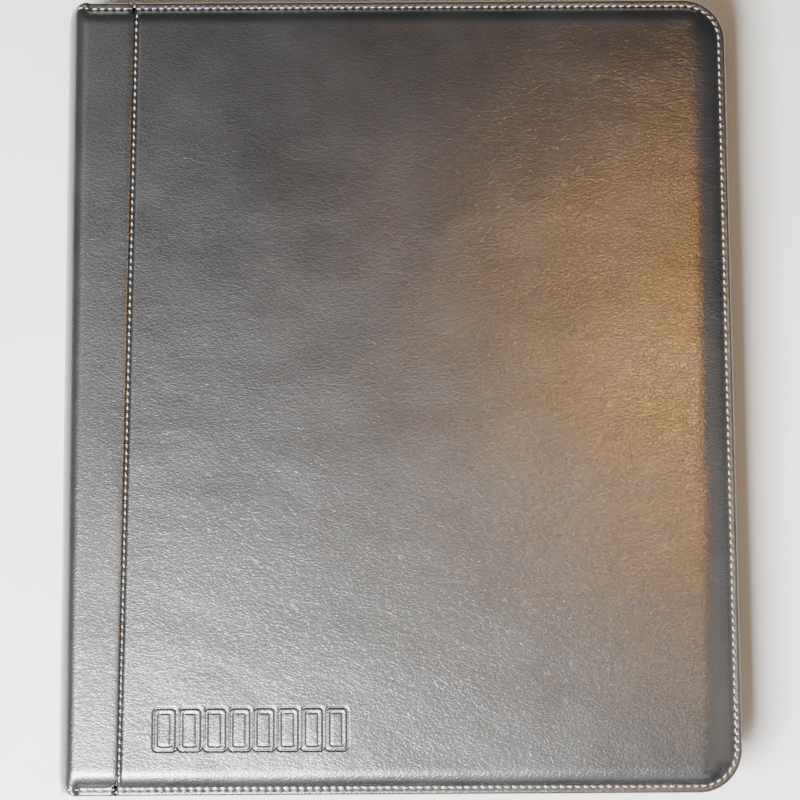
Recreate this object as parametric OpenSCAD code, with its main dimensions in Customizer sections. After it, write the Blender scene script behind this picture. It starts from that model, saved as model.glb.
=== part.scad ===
// Padded ring album for trading cards: two crowned leatherette covers, a rounded spine, a ring
// mechanism on the back cover and leaves of nine side-loading pockets.
// The album lies closed on its back cover. X runs from the spine (-X) to the open edge, Y runs
// from the bottom edge to the top edge, and Z is up. The origin is under the middle of the album.

/* [Covers] */
// Length of the album, bottom edge to top edge
cover_len = 318; // [312:1:330]
// Width of the closed album, spine to open edge
cover_wid = 267; // [264:1:285]
// Thickness of the closed album
overall_t = 36; // [36:0.5:44]
// Radius of the two corners at the open edge
corner_r = 17; // [12:0.5:22]
// Thickness of the cover boards
board_t = 2.2; // [1.8:0.1:2.4]
// Thickness of the foam at the crown of a cover
foam_t = 3.3; // [2.8:0.1:3.5]
// Thickness of the leatherette
leather_t = 1; // [0.8:0.1:1]
// Thickness of the inside lining
lining_t = 0.5; // [0.3:0.1:0.6]

/* [Spine] */
// How far the spine bulges past the ends of the covers
spine_depth = 9.5; // [8:0.5:9.5]
// Distance from the outside of the spine to the sewn seam on each cover
seam_inset = 26; // [25:0.5:32]

/* [Ring mechanism] */
// Mean radius of the rings
ring_r = 8; // [7.8:0.1:8.2]
// Diameter of the ring wire
wire_d = 2.6; // [2.2:0.1:2.8]
// Distance between neighbouring rings
ring_pitch = 108; // [100:1:110]
// Length of the arched plate that carries the rings
plate_len = 286; // [284:1:290]
// Width of the arched plate
plate_wid = 22; // [21.5:0.5:24]
// Height of the arched plate over the lining
plate_h = 5.2; // [5.1:0.1:5.3]

/* [Leaves] */
// Number of leaves on the rings
leaf_count = 8; // [4:1:8]
// Height of a leaf
leaf_len = 284; // [282:1:284]
// Width of a leaf from its binding edge
leaf_wid = 233; // [228:1:234]
// Diameter of the punched holes
hole_d = 8; // [7.8:0.1:8.4]
// Width of one card pocket
pocket_wid = 67; // [65:0.5:67.5]
// Height of one card pocket
pocket_len = 91; // [89:0.5:92]

/* [Hidden] */
$fn = 48;

half_len = cover_len / 2;
x_spine = -cover_wid / 2;
x_open = cover_wid / 2;
cover_t = lining_t + board_t + foam_t + leather_t;
board_top = lining_t + board_t;
flange_top = board_top + leather_t;
x_seam = x_spine + seam_inset;
x_wing = x_spine + spine_depth + 0.5;
x_board = x_wing + 1;
edge_gap = 0.1;
board_inset = leather_t + edge_gap;
lap_gap = 0.2;

// Spine stack, counted from the outside of the bulge, and the height that its flat board covers
spine_board_x = x_spine + leather_t + 1.3;
spine_foot = cover_t + 1;
spine_curve = 2.4;

// Ring mechanism: the rings' common centre, the blades' hinge line and the levers' pivot
ring_x = x_spine + 24;
ring_z = cover_t + 10.6;
plate_t = 0.8;
blade_t = 1;
blade_z = cover_t + 2.1;
blade_edge = plate_wid / 2 - 1.8;
foot_angle = 57;
tip_angle = 89.3;
lever_y = plate_len / 2 - 1.5;
lever_z = cover_t + 2.7;
trunnion_d = 2;
running_gap = 0.05;

// Leaves: offsets from the ring centre, and the pieces of one leaf
sheet_t = 0.3;
film_t = 0.3;
leaf_span = 8.8;
hole_to_edge = 6.5;
hole_shift = 0.7;
pocket_gap = 1.5;
binding_strip = 25.6;

LEAF_NODES = [for (i = [1:leaf_count]) for (part = ["sheet", "pockets"]) str("leaf_", i, "_", part)];

function leaf_offset(i) = leaf_span / 2 - (i - 1) * leaf_span / (leaf_count - 1);
function leaf_hole_x(i) = ring_x + sqrt(pow(ring_r, 2) - pow(leaf_offset(i), 2)) + hole_shift;

// Half of a squashed oval: how far the spine's outline stands in from its bulge at height z,
// for an outline that stands `inset` inside the leather's outer face
function spine_in(z, inset) =
    let (half_h = overall_t / 2 - inset, deep = spine_depth - inset, v = min(1, abs(z) / half_h))
    spine_depth - deep * pow(1 - pow(v, spine_curve), 1 / spine_curve);

// A cover is drawn lining down and leather up, then laid on its side of the album
module as_front_cover() {
    translate([0, 0, overall_t - cover_t]) children();
}

module as_back_cover() {
    translate([0, 0, cover_t]) mirror([0, 0, 1]) children();
}

// Flat outline with square corners at the spine end and round ones at the open edge
module outline(x0, x1, half, r) {
    union() {
        translate([x0, -half]) square([x1 - r - x0, 2 * half]);
        translate([x1 - r - 0.01, r - half]) square([r + 0.01, 2 * (half - r)]);
        for (side = [-1, 1]) translate([x1 - r, side * (half - r)]) circle(r);
    }
}

module plate(x0, x1, half, r, z0, z1) {
    translate([0, 0, z0]) linear_extrude(z1 - z0) outline(x0, x1, half, r);
}

// The crown of a pad: a convex solid whose outline draws in as it rises.
// spine_in and open_in scale the draw at the two ends in X, and 0 leaves that end upright.
CROWN = [[4.5, 0], [7, 0.3], [13, 0.7], [24, 0.94], [38, 1]];
module crown(x0, x1, spine_draw, open_draw, r, skin, z0, z1) {
    hull() for (step = CROWN) {
        draw = step[0] + skin;
        x_low = x0 + spine_draw * draw;
        x_high = x1 - open_draw * draw;
        z = z0 + step[1] * (z1 - z0);
        plate(x_low, x_high, half_len - draw, max(0.5, r - draw), z - 0.02, z, $fn = 32);
    }
}

// Leatherette over one stretch of a cover, with the turned-in rim that wraps the board
module cover_skin(x0, x1, spine_draw, open_draw, r, x_pocket0, x_pocket1) {
    difference() {
        union() {
            plate(x0, x1, half_len, r, edge_gap, flange_top);
            crown(x0, x1, spine_draw, open_draw, r, 0, flange_top, cover_t);
        }
        plate(x_pocket0, x_pocket1, half_len - leather_t, max(0.5, r - leather_t), -1, board_top);
        crown(x0, x1, spine_draw, open_draw, r, leather_t, board_top, cover_t - leather_t);
    }
}

module cover_panel_skin() {
    cover_skin(x_seam, x_open, 0.35, 1, corner_r, x_seam - 5, x_open - leather_t);
}

module cover_wing_skin() {
    cover_skin(x_wing, x_seam - lap_gap, 0, 0.22, 0.5, x_wing - 5, x_seam + 5);
}

module cover_board() {
    plate(x_board, x_open - board_inset, half_len - board_inset, corner_r - board_inset,
          lining_t, board_top - 0.02);
}

module cover_lining() {
    plate(x_board, x_open - board_inset, half_len - board_inset, corner_r - board_inset,
          0, lining_t);
}

// The foam under the panel, and the narrow strip of it between the seam and the spine
module cover_foam() {
    top = cover_t - leather_t - edge_gap;
    crown(x_seam, x_open, 0.35, 1, corner_r, leather_t + edge_gap, board_top + 0.02, top);
    crown(x_wing + 0.5, x_seam - lap_gap, 0, 0.22, 0.5, leather_t + edge_gap, board_top + 0.02, top);
}

// Lockstitch round the free edges, drawn as one bead on the pressed rim
stitch_inset = 2;
stitch_wid = 0.8;
stitch_h = 0.4;
module cover_edge_bead() {
    difference() {
        plate(x_wing, x_open - stitch_inset, half_len - stitch_inset, corner_r - stitch_inset,
              flange_top, flange_top + stitch_h);
        plate(x_wing - 1, x_open - stitch_inset - stitch_wid, half_len - stitch_inset - stitch_wid,
              corner_r - stitch_inset - stitch_wid, flange_top - 1, flange_top + 2);
    }
}

// Lockstitch along the lapped seam, just inside the folded edge of the panel
module cover_seam_bead() {
    reach = half_len - stitch_inset - stitch_wid - 0.2;
    translate([x_seam + 0.4, -reach, flange_top]) cube([stitch_wid, 2 * reach, stitch_h]);
}

module back_board() {
    color("tan") difference() {
        as_back_cover() cover_board();
        rivet_holes();
    }
}

module back_foam() {
    color("lightgray") as_back_cover() cover_foam();
}

module back_lining() {
    color("dimgray") difference() {
        as_back_cover() cover_lining();
        rivet_holes();
    }
}

module back_panel_leather() {
    color([0.12, 0.12, 0.13]) as_back_cover() cover_panel_skin();
}

module back_spine_leather() {
    color([0.14, 0.14, 0.15]) as_back_cover() cover_wing_skin();
}

module back_edge_stitching() {
    color("gainsboro") as_back_cover() cover_edge_bead();
}

module back_seam_stitching() {
    color("gainsboro") as_back_cover() cover_seam_bead();
}

module front_board() {
    color("tan") as_front_cover() cover_board();
}

module front_foam() {
    color("lightgray") as_front_cover() cover_foam();
}

module front_lining() {
    color("dimgray") as_front_cover() cover_lining();
}

module front_panel_leather() {
    color([0.12, 0.12, 0.13]) as_front_cover() cover_panel_skin();
}

module front_spine_leather() {
    color([0.14, 0.14, 0.15]) as_front_cover() cover_wing_skin();
}

module front_edge_stitching() {
    color("gainsboro") as_front_cover() cover_edge_bead();
}

module front_seam_stitching() {
    color("gainsboro") as_front_cover() cover_seam_bead();
}

// Spine pieces are flat profiles in X and Z, run along Y
module along_spine(length) {
    translate([0, length / 2, overall_t / 2]) rotate([90, 0, 0]) linear_extrude(length) children();
}

spine_steps = 24;
spine_inner_h = overall_t / 2 - spine_foot;
module spine_board() {
    color("tan") along_spine(cover_len - 2 * board_inset)
        translate([spine_board_x, -spine_inner_h]) square([board_t, 2 * spine_inner_h]);
}

// Thin lens of foam between the flat board and the bulging leather
module spine_foam() {
    heights = [for (k = [0:spine_steps]) spine_inner_h * (2 * k / spine_steps - 1)];
    bulge = [for (z = heights) [x_spine + spine_in(z, leather_t + edge_gap), z]];
    flat_x = spine_board_x - 0.02;
    color("lightgray") along_spine(cover_len - 2 * board_inset)
        polygon(concat(bulge, [[flat_x, spine_inner_h], [flat_x, -spine_inner_h]]));
}

module spine_lining() {
    color("dimgray") along_spine(cover_len - 2 * board_inset)
        translate([spine_board_x + board_t, -spine_inner_h]) square([lining_t, 2 * spine_inner_h]);
}

// Rounded back of the spine. The steps crowd towards the two ends, where the curve is tightest.
module spine_leather() {
    outer_h = overall_t / 2;
    inner_h = outer_h - leather_t;
    turns = [for (k = [-spine_steps:spine_steps]) sin(90 * k / spine_steps)];
    outer = [for (v = turns) [x_spine + spine_in(v * outer_h, 0), v * outer_h]];
    inner = [for (v = turns) [x_spine + spine_in(v * inner_h, leather_t), v * inner_h]];
    last = len(turns) - 1;
    color([0.14, 0.14, 0.15]) along_spine(cover_len)
        polygon(concat(outer, [for (k = [0:last]) inner[last - k]]));
}

// Arched steel plate with its sides turned down to the lining
module arch_profile(wid, h) {
    steps = 12;
    points = [for (k = [-steps:steps])
        let (t = 90 * k / steps, c = cos(t))
        [wid / 2 * sign(k) * pow(abs(sin(t)), 0.5), h * pow(max(0, c), 0.5)]];
    polygon(points);
}

module ring_plate() {
    slot_x0 = 2.9;
    slot_x1 = 8.4;
    slot_w = wire_d + 1.2;
    color("silver") difference() {
        translate([ring_x, plate_len / 2, cover_t]) rotate([90, 0, 0]) linear_extrude(plate_len)
            arch_profile(plate_wid, plate_h);
        translate([ring_x, plate_len / 2 + 1, cover_t - 0.01]) rotate([90, 0, 0])
            linear_extrude(plate_len + 2) arch_profile(plate_wid - 2 * plate_t, plate_h - plate_t);
        for (row = [-1:1]) for (side = [-1, 1])
            translate([ring_x + side * (slot_x0 + slot_x1) / 2, row * ring_pitch, cover_t + plate_h])
                cube([slot_x1 - slot_x0, slot_w, 4], center = true);
        for (side = [-1, 1]) translate([ring_x, side * lever_y, lever_z]) rotate([0, 90, 0])
            cylinder(h = plate_wid + 4, d = trunnion_d + 2 * running_gap, center = true);
        rivet_holes();
    }
}

// Two rivets clamp the plate to the board through the lining
rivet_y = 122;
rivet_d = 3;
rivet_head_d = 6.5;
module rivet_holes() {
    for (side = [-1, 1]) translate([ring_x, side * rivet_y, cover_t - board_top - 1])
        cylinder(h = board_top + plate_h + 2, d = rivet_d + 2 * running_gap);
}

module plate_rivets() {
    foot_z = cover_t - board_top + 0.1;
    head_z = cover_t + plate_h;
    color("silver") for (side = [-1, 1]) translate([ring_x, side * rivet_y, 0]) {
        translate([0, 0, foot_z]) cylinder(h = head_z - foot_z, d = rivet_d);
        translate([0, 0, head_z]) cylinder(h = 0.5, d1 = rivet_head_d, d2 = rivet_head_d - 1.6);
    }
}

// One hinged blade under the plate: a flat strip with a round outer edge on its hinge line.
// It is cut away round the rivets and drilled for the feet of the half rings.
blade_len = plate_len - 12;
foot_x = ring_r * cos(foot_angle);
module ring_blade() {
    difference() {
        union() {
            translate([0.2, -blade_len / 2, -blade_t / 2]) cube([blade_edge - 0.2, blade_len, blade_t]);
            translate([blade_edge, 0, 0]) rotate([90, 0, 0])
                cylinder(h = blade_len, d = blade_t, center = true);
        }
        for (row = [-1:1]) translate([foot_x, row * ring_pitch, -2]) cylinder(h = 4, d = 2.1);
        for (side = [-1, 1]) translate([0, side * rivet_y, -2]) cylinder(h = 4, d = rivet_d + 2);
    }
}

module ring_blade_right() {
    color("gray") translate([ring_x, 0, blade_z]) ring_blade();
}

module ring_blade_left() {
    color("gray") translate([ring_x, 0, blade_z]) mirror([1, 0, 0]) ring_blade();
}

// Three half rings of wire, each with a foot that is set in its blade
module half_rings() {
    for (row = [-1:1]) translate([0, row * ring_pitch, 0]) {
        translate([0, 0, ring_z]) rotate([90, 0, 0]) rotate([0, 0, -foot_angle])
            rotate_extrude(angle = foot_angle + tip_angle) translate([ring_r, 0]) circle(d = wire_d);
        translate([foot_x, 0, blade_z - blade_t / 2])
            cylinder(h = ring_z - ring_r * sin(foot_angle) - blade_z + blade_t / 2, d = 2);
    }
}

module half_rings_right() {
    color("gainsboro") translate([ring_x, 0, 0]) half_rings();
}

module half_rings_left() {
    color("gainsboro") translate([ring_x, 0, 0]) mirror([1, 0, 0]) half_rings();
}

// Thumb lever: a cross bar on two trunnions, a nose under the blades and a tab that leans outwards
tab_wid = 12;
tab_lean = 30;
tab_len = 12;
nose_reach = 5.4;
module thumb_lever() {
    bar_wid = plate_wid - 0.4;
    color("silver") translate([ring_x, lever_y, lever_z]) {
        rotate([0, 90, 0]) cylinder(h = bar_wid, d = trunnion_d, center = true);
        translate([-1.5, -nose_reach, -2]) cube([3, nose_reach, 0.6]);
        translate([-1.5, -0.8, -2]) cube([3, 0.9, 2]);
        translate([-tab_wid / 2, 0, -0.6]) cube([tab_wid, 3.4, 1.2]);
        translate([0, 3.4, 0]) rotate([-tab_lean, 0, 0]) union() {
            translate([-tab_wid / 2, -0.6, 0]) cube([tab_wid, 1.2, tab_len - tab_wid / 2 + 3]);
            translate([0, 0, tab_len - tab_wid / 2 + 3]) rotate([90, 0, 0])
                cylinder(h = 1.2, d = tab_wid, center = true);
            translate([-tab_wid / 2, 0, 0]) rotate([0, 90, 0]) cylinder(h = tab_wid, d = 1.2);
        }
    }
}

module lever_top() {
    thumb_lever();
}

module lever_bottom() {
    mirror([0, 1, 0]) thumb_lever();
}

// Backing sheet of a leaf, with the binding strip and its three punched holes
module leaf_sheet(i) {
    x_edge = leaf_hole_x(i) - hole_to_edge;
    color([0.2, 0.2, 0.22]) translate([0, 0, ring_z + leaf_offset(i) - sheet_t / 2]) difference() {
        plate(x_edge, x_edge + leaf_wid, leaf_len / 2, 3, 0, sheet_t);
        for (row = [-1:1]) translate([leaf_hole_x(i), row * ring_pitch, -1])
            cylinder(h = sheet_t + 2, d = hole_d);
    }
}

// Clear films over both faces of a leaf: three columns of three pockets on each
module leaf_pockets(i) {
    x_first = leaf_hole_x(i) - hole_to_edge + binding_strip;
    y_first = -1.5 * pocket_len - pocket_gap;
    color([0.75, 0.78, 0.8]) translate([0, 0, ring_z + leaf_offset(i)])
        for (column = [0:2]) for (row = [0:2]) for (face = [0, 1]) translate([
            x_first + column * (pocket_wid + pocket_gap),
            y_first + row * (pocket_len + pocket_gap),
            face == 1 ? sheet_t / 2 : -sheet_t / 2 - film_t
        ]) cube([pocket_wid, pocket_len, film_t]);
}

back_board();
back_foam();
back_lining();
back_panel_leather();
back_spine_leather();
back_edge_stitching();
back_seam_stitching();
front_board();
front_foam();
front_lining();
front_panel_leather();
front_spine_leather();
front_edge_stitching();
front_seam_stitching();
spine_board();
spine_foam();
spine_lining();
spine_leather();
ring_plate();
plate_rivets();
ring_blade_left();
ring_blade_right();
half_rings_left();
half_rings_right();
lever_top();
lever_bottom();
for (i = [1:leaf_count]) {
    leaf_sheet(i);
    leaf_pockets(i);
}
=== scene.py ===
import math

import bpy
import numpy as np
from mathutils import Euler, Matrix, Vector
from mathutils.kdtree import KDTree


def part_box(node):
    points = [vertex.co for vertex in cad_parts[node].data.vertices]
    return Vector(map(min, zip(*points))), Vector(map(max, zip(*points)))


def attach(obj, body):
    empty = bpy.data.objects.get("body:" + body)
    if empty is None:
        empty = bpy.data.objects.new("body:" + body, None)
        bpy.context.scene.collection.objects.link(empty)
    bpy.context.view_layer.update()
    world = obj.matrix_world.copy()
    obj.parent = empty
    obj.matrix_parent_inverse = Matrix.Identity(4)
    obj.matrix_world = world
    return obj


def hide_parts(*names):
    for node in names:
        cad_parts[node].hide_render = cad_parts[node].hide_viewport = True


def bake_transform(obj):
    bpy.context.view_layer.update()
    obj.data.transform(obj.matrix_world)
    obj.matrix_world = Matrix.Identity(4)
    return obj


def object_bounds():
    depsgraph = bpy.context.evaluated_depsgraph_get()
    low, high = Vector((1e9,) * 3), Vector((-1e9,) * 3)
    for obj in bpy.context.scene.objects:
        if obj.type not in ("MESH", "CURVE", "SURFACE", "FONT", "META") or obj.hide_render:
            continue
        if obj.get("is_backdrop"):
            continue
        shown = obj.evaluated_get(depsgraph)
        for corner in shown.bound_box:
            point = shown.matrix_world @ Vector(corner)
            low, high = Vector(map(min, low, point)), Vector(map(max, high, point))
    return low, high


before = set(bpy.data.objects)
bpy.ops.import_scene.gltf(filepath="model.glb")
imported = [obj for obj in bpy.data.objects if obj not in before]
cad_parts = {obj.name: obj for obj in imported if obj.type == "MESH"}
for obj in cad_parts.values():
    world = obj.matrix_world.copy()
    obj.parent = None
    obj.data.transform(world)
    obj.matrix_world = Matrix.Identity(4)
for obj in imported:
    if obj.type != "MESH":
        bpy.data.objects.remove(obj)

cad_low, cad_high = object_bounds()
MM = 0.001


# ---- Cover and spine boards -------------------------------------------------------------------
# Three pieces of grey bookbinder's board stiffen the album: one in each cover and one in the
# spine. They are die-cut, and the leatherette is glued round their edges.

def new_material(name, color, roughness, metallic=0.0):
    material = bpy.data.materials.new(name)
    material.use_nodes = True
    shader = material.node_tree.nodes["Principled BSDF"]
    shader.inputs["Base Color"].default_value = (*color, 1)
    shader.inputs["Roughness"].default_value = roughness
    shader.inputs["Metallic"].default_value = metallic
    return material, material.node_tree, shader


def add(tree, kind, values=None, **settings):
    node = tree.nodes.new(kind)
    for name, value in settings.items():
        setattr(node, name, value)
    for name, value in (values or {}).items():
        node.inputs[name].default_value = value
    return node


def place(tree, stretch=(1, 1, 1), turn=(0, 0, 0)):
    """Position on the piece, stretched and turned, for a texture that needs no UV map."""
    where = add(tree, "ShaderNodeTexCoord")
    mapping = add(tree, "ShaderNodeMapping", {"Scale": stretch, "Rotation": turn})
    tree.links.new(where.outputs["Object"], mapping.inputs["Vector"])
    return mapping.outputs["Vector"]


def tint(tree, shader, mask, stops):
    """Let the base colour follow a mask, from one stop to the next."""
    node = add(tree, "ShaderNodeValToRGB")
    node.color_ramp.elements[0].position = stops[0][0]
    node.color_ramp.elements[1].position = stops[-1][0]
    for position, _ in stops[1:-1]:
        node.color_ramp.elements.new(position)
    for element, (_, color) in zip(node.color_ramp.elements, stops):
        element.color = (*color, 1)
    tree.links.new(mask, node.inputs["Fac"])
    tree.links.new(node.outputs["Color"], shader.inputs["Base Color"])


def math_node(tree, operation, a, b, clamp=False):
    node = add(tree, "ShaderNodeMath", operation=operation, use_clamp=clamp)
    for socket, value in zip(node.inputs, (a, b)):
        if isinstance(value, (int, float)):
            socket.default_value = value
        else:
            tree.links.new(value, socket)
    return node.outputs[0]


def bump(tree, shader, height, depth):
    node = add(tree, "ShaderNodeBump", {"Strength": 1.0, "Distance": depth})
    tree.links.new(height, node.inputs["Height"])
    tree.links.new(node.outputs["Normal"], shader.inputs["Normal"])
    tree.links.new(node.outputs["Normal"], shader.inputs["Coat Normal"])


def paint(node_name, material):
    """Give a CAD node its material. Its mesh and place stay as they are."""
    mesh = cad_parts[node_name].data
    mesh.materials.clear()
    mesh.materials.append(material)


board_material, tree, shader = new_material("grey_bookbinders_board", (0.36, 0.33, 0.29), 0.9)
fibres = add(tree, "ShaderNodeTexNoise", {"Scale": 900.0, "Detail": 6.0, "Distortion": 1.2})
tree.links.new(place(tree, (1, 0.35, 2)), fibres.inputs["Vector"])
pulp_colors = [(0.3, (0.25, 0.23, 0.2)), (0.55, (0.38, 0.35, 0.31)), (0.75, (0.5, 0.47, 0.42))]
tint(tree, shader, fibres.outputs["Fac"], pulp_colors)
bump(tree, shader, fibres.outputs["Fac"], 0.1 * MM)
for board in ("front_board", "back_board", "spine_board"):
    paint(board, board_material)


# ---- Foam -------------------------------------------------------------------------------------
# Open-cell foam, cut from sheet and glued down, pads the album under its leatherette. The strip on
# the spine is painted here. The two cover cushions are shaped with the panels that cover them.

foam_material, tree, shader = new_material("open_cell_foam", (0.5, 0.5, 0.48), 0.95)
cells = add(tree, "ShaderNodeTexVoronoi", {"Scale": 1400.0, "Randomness": 1.0})
tree.links.new(place(tree), cells.inputs["Vector"])
# Painted shade: the colour darkens towards the middle of each cell, where its pore lies in shade.
pore_shade_colors = [(0.1, (0.05, 0.05, 0.05)), (0.6, (0.14, 0.14, 0.135))]
tint(tree, shader, cells.outputs["Distance"], pore_shade_colors)
bump(tree, shader, cells.outputs["Distance"], 0.3 * MM)
paint("spine_foam", foam_material)


# ---- Leatherette ------------------------------------------------------------------------------
# The skin of the album is black polyurethane leatherette with a rolled-in pebbled grain and soft
# creases across it. It has a semi-gloss finish, a little duller in the creases.

def effect_group(name, scale_name, scale, outputs):
    """An empty node group that takes a place and a scale, with its input and output nodes."""
    group = bpy.data.node_groups.new(name, "ShaderNodeTree")
    group.interface.new_socket("Vector", in_out="INPUT", socket_type="NodeSocketVector")
    scale_socket = group.interface.new_socket(scale_name, in_out="INPUT", socket_type="NodeSocketFloat")
    scale_socket.default_value = scale
    for socket in outputs:
        group.interface.new_socket(socket, in_out="OUTPUT", socket_type="NodeSocketFloat")
    return group, group.nodes.new("NodeGroupInput"), group.nodes.new("NodeGroupOutput")


def warped(tree, vector, scale, amount):
    """A vector pushed about by noise, so that cells and lines lose their regular look."""
    noise = add(tree, "ShaderNodeTexNoise", {"Scale": scale, "Detail": 2.0})
    tree.links.new(vector, noise.inputs["Vector"])
    centre = add(tree, "ShaderNodeVectorMath", {1: (0.5, 0.5, 0.5)}, operation="SUBTRACT")
    tree.links.new(noise.outputs["Color"], centre.inputs[0])
    shift = add(tree, "ShaderNodeVectorMath", {"Scale": amount}, operation="SCALE")
    tree.links.new(centre.outputs[0], shift.inputs[0])
    total = add(tree, "ShaderNodeVectorMath", operation="ADD")
    tree.links.new(vector, total.inputs[0])
    tree.links.new(shift.outputs[0], total.inputs[1])
    return total.outputs[0]


# Pebbled grain: wrinkled flat-topped cells about a millimetre and a half across
pebble_group, ends_in, ends_out = effect_group("pebble_grain", "Cells per metre", 720.0, ["Height"])
moved = warped(pebble_group, ends_in.outputs["Vector"], 380.0, 0.0022)
wide_cells = add(pebble_group, "ShaderNodeMapping", {"Scale": (0.72, 1.15, 1), "Rotation": (0, 0, 0.3)})
pebble_group.links.new(moved, wide_cells.inputs["Vector"])
edges = add(pebble_group, "ShaderNodeTexVoronoi", {"Randomness": 1.0}, feature="DISTANCE_TO_EDGE")
pebble_group.links.new(wide_cells.outputs["Vector"], edges.inputs["Vector"])
pebble_group.links.new(ends_in.outputs["Cells per metre"], edges.inputs["Scale"])
plateau = math_node(pebble_group, "MULTIPLY", edges.outputs["Distance"], 4.6, clamp=True)
crumple = add(pebble_group, "ShaderNodeTexNoise", {"Detail": 3.0, "Roughness": 0.6, "Distortion": 0.7})
pebble_group.links.new(wide_cells.outputs["Vector"], crumple.inputs["Vector"])
pebble_group.links.new(math_node(pebble_group, "MULTIPLY", ends_in.outputs["Cells per metre"], 0.62),
                       crumple.inputs["Scale"])
wrinkle = crumple.outputs["Fac"]
pebble = math_node(pebble_group, "MULTIPLY", plateau, 0.62)
pebble_group.links.new(math_node(pebble_group, "ADD", pebble, wrinkle), ends_out.inputs["Height"])

# Creases: long thin lines that come and go, most of them falling towards the open edge
crease_group, ends_in, ends_out = effect_group("leather_creases", "Patches per metre", 26.0, ["Height"])
moved = warped(crease_group, ends_in.outputs["Vector"], 70.0, 0.009)
both = None
for turn, stretch, width in ((0.45, (32, 150, 90), 34.0), (-0.3, (26, 120, 80), 44.0)):
    turned = add(crease_group, "ShaderNodeMapping", {"Rotation": (0, 0, turn)})
    squeezed = add(crease_group, "ShaderNodeMapping", {"Scale": stretch})
    lines = add(crease_group, "ShaderNodeTexNoise", {"Scale": 1.0, "Detail": 1.5, "Roughness": 0.5})
    crease_group.links.new(moved, turned.inputs["Vector"])
    crease_group.links.new(turned.outputs["Vector"], squeezed.inputs["Vector"])
    crease_group.links.new(squeezed.outputs["Vector"], lines.inputs["Vector"])
    from_middle = math_node(crease_group, "SUBTRACT", lines.outputs["Fac"], 0.5)
    from_middle = math_node(crease_group, "ABSOLUTE", from_middle, 0.0)
    line = math_node(crease_group, "SUBTRACT", 1.0,
                     math_node(crease_group, "MULTIPLY", from_middle, width), clamp=True)
    both = line if both is None else math_node(crease_group, "MAXIMUM", both, line)
patch = add(crease_group, "ShaderNodeTexNoise", {"Detail": 3.0})
crease_group.links.new(ends_in.outputs["Vector"], patch.inputs["Vector"])
crease_group.links.new(ends_in.outputs["Patches per metre"], patch.inputs["Scale"])
where = math_node(crease_group, "MULTIPLY",
                  math_node(crease_group, "SUBTRACT", patch.outputs["Fac"], 0.35), 2.2, clamp=True)
crease_group.links.new(math_node(crease_group, "MULTIPLY", both, where), ends_out.inputs["Height"])


def leatherette(name, color, roughness, grain_depth):
    material, tree, shader = new_material(name, color, roughness)
    vector = place(tree)
    pebbles = add(tree, "ShaderNodeGroup", node_tree=pebble_group)
    creases = add(tree, "ShaderNodeGroup", node_tree=crease_group)
    cloudy = add(tree, "ShaderNodeTexNoise", {"Scale": 38.0, "Detail": 4.0})
    for node in (pebbles, creases, cloudy):
        tree.links.new(vector, node.inputs["Vector"])
    sunk = math_node(tree, "MULTIPLY", creases.outputs["Height"], -0.6)
    bump(tree, shader, math_node(tree, "ADD", pebbles.outputs["Height"], sunk), grain_depth)
    dark = tuple(channel * 0.75 for channel in color)
    light = tuple(channel * 1.35 for channel in color)
    tint(tree, shader, cloudy.outputs["Fac"], [(0.3, dark), (0.7, light)])
    dull = math_node(tree, "MULTIPLY", creases.outputs["Height"], 0.02)
    spread = math_node(tree, "MULTIPLY", math_node(tree, "SUBTRACT", cloudy.outputs["Fac"], 0.5), 0.04)
    tree.links.new(math_node(tree, "ADD", math_node(tree, "ADD", dull, spread), roughness),
                   shader.inputs["Roughness"])
    shader.inputs["Specular IOR Level"].default_value = 0.8
    shader.inputs["Coat Weight"].default_value = 0.6
    shader.inputs["Coat Roughness"].default_value = 0.19
    return material


# Both stay rougher than 0.28 all over, because a denoised render loses the grain of a glossier one
panel_leather = leatherette("black_leatherette", (0.008, 0.008, 0.0085), 0.3, 0.044 * MM)
spine_leather = leatherette("black_leatherette_spine", (0.009, 0.009, 0.0095), 0.305, 0.042 * MM)


# ---- Cover panels -----------------------------------------------------------------------------
# Each panel is one sheet of leatherette stretched over the foam. It is pressed flat and stitched
# round the free edges, turned in over the board, and folded under along the seam by the spine.

open_x = cad_high.x
spine_x = cad_low.x
half_len = cad_high.y
album_z = cad_high.z
seam_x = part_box("front_panel_leather")[0].x
lining_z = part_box("front_lining")[0].z
board_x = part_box("front_board")[0].x
rim_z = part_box("front_edge_stitching")[0].z
bulge_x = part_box("spine_leather")[1].x

corner_r = 17 * MM
stitch_inset = 2.6 * MM
stitch_pitch = 3.05 * MM
seam_stitch_x = 0.95 * MM
seam_lean = 0.013
rim_roll = 1.1 * MM
open_roll = (3.4 * MM, 13 * MM)
end_roll = (3.3 * MM, 7 * MM)
seam_roll = (0.9 * MM, 2.4 * MM)
seam_share = 0.78
groove_depth, groove_width = 0.22 * MM, 0.6 * MM
fold_drop = 0.95 * MM


def rumple(x, y, size, seed):
    """Smooth random height between -1 and 1, on a lattice of the given size."""
    table = np.random.default_rng(seed).uniform(-1, 1, (64, 64))
    u, v = np.asarray(x) / size, np.asarray(y) / size
    i, j = np.floor(u).astype(int), np.floor(v).astype(int)
    a, b = (t * t * t * (t * (6 * t - 15) + 10) for t in (u - i, v - j))
    low = table[i % 64, j % 64] * (1 - a) + table[(i + 1) % 64, j % 64] * a
    high = table[i % 64, (j + 1) % 64] * (1 - a) + table[(i + 1) % 64, (j + 1) % 64] * a
    return low * (1 - b) + high * b


def rise(distance, roll):
    """How far the crown has come up, 0 to 1, at a distance from an edge."""
    t = np.clip((distance - roll[0]) / roll[1], 0, 1)
    return 1 - (1 - t) ** 2.5


def roll_off(distance, radius):
    """How far a round edge has dropped at a distance from the outline."""
    t = np.clip(1 - distance / radius, 0, 1)
    return radius * (1 - np.sqrt(1 - t * t))


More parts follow.
